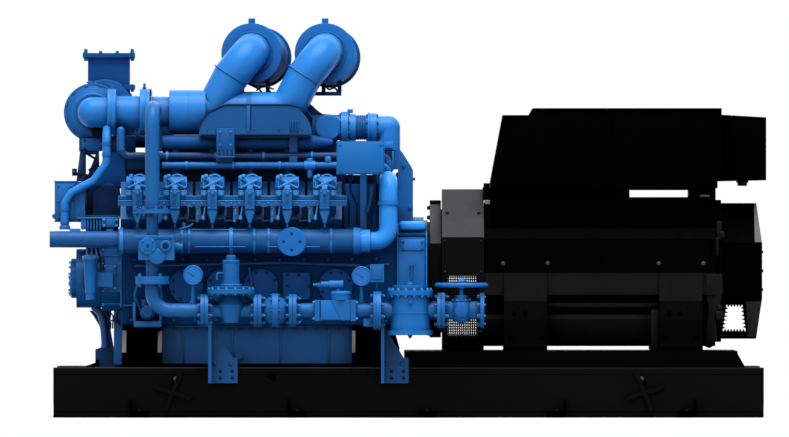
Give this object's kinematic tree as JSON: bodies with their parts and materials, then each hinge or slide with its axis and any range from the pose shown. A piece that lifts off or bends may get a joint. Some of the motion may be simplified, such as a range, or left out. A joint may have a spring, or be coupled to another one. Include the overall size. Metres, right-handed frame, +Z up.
{
  "type": "gas generator set",
  "caption": "V-engine gas generator set: gas engine with turbocharger, gas train and alternator on a common steel base frame, with a turning valve handwheel.",
  "frame": {"origin": "on the floor, under the middle of the base frame, in the vertical plane of the shaft", "axes": "+X along the shaft from the engine to the alternator, +Y away from the gas train, +Z up"},
  "size_m": [4.448, 1.846, 2.4808],
  "materials": {
    "base_black": "satin black paint",
    "mount_black": "satin black paint on a casting",
    "alternator_black": "semi-matt black paint",
    "terminal_black": "matt black powder coat",
    "blue_dark": "satin dark blue paint",
    "blue_cast": "satin blue paint over cast iron",
    "blue_pipe": "semi-gloss blue paint"
  },
  "bodies": {
    "set": {"base_rails": "base_black", "base_crossmembers": "base_black", "base_deck": "base_black", "alternator_subframe": "base_black", "hold_down_cleats": "base_black", "lifting_lugs": "base_black", "crankcase": "blue_cast", "crankcase_doors": "blue_cast", "oil_pan": "blue_dark", "engine_mounts": "mount_black", "gear_cover": "blue_cast", "coolant_pump": "blue_cast", "oil_centrifuge": "blue_pipe", "front_support": "blue_cast", "front_cabinet": "blue_pipe", "front_covers": "blue_dark", "cylinder_heads": "blue_cast", "rocker_covers": "blue_cast", "ignition_rails": "blue_pipe", "coolant_manifolds": "blue_pipe", "coolant_risers": "blue_pipe", "thermostat_housing": "blue_cast", "mixture_manifold": "blue_cast", "mixture_cooler": "blue_dark", "oil_cooler": "blue_dark", "exhaust_manifold": "blue_dark", "exhaust_crossover": "blue_dark", "manifold_shields": "blue_pipe", "side_pipes": "blue_pipe", "intake_ducts": "blue_pipe", "air_filters": "blue_pipe", "filter_support": "blue_dark", "turbocharger": "blue_cast", "turbo_inlet_pipe": "blue_pipe", "turbo_bracket": "blue_dark", "exhaust_outlet": "blue_dark", "charge_pipe": "blue_pipe", "rear_cover": "blue_cast", "control_box": "blue_pipe", "gas_riser": "blue_pipe", "gas_mixer": "blue_pipe", "gas_supply_pipe": "blue_pipe", "pressure_regulator": "blue_pipe", "check_valve": "blue_pipe", "solenoid_valve": "blue_pipe", "gas_filter": "blue_pipe", "shutoff_valve": "blue_pipe", "gas_train_brackets": "blue_pipe", "gas_gauges": "blue_pipe", "flywheel_housing": "blue_cast", "adapter_ring": "alternator_black", "drive_end_barrel": "alternator_black", "alternator_frame": "alternator_black", "alternator_feet": "alternator_black", "end_cowl": "alternator_black", "terminal_pedestal": "terminal_black", "terminal_box": "terminal_black", "cable_outlet_box": "terminal_black"},
    "handwheel": {"valve_handwheel": "blue_pipe"}
  },
  "joints": [
    {"name": "handwheel_turn", "type": "hinge", "parent": "set", "child": "handwheel", "pos_m": [0.3265, -0.87, 0.822], "axis": [0, 0, 1], "range_deg": [0, 1125]}
  ]
}
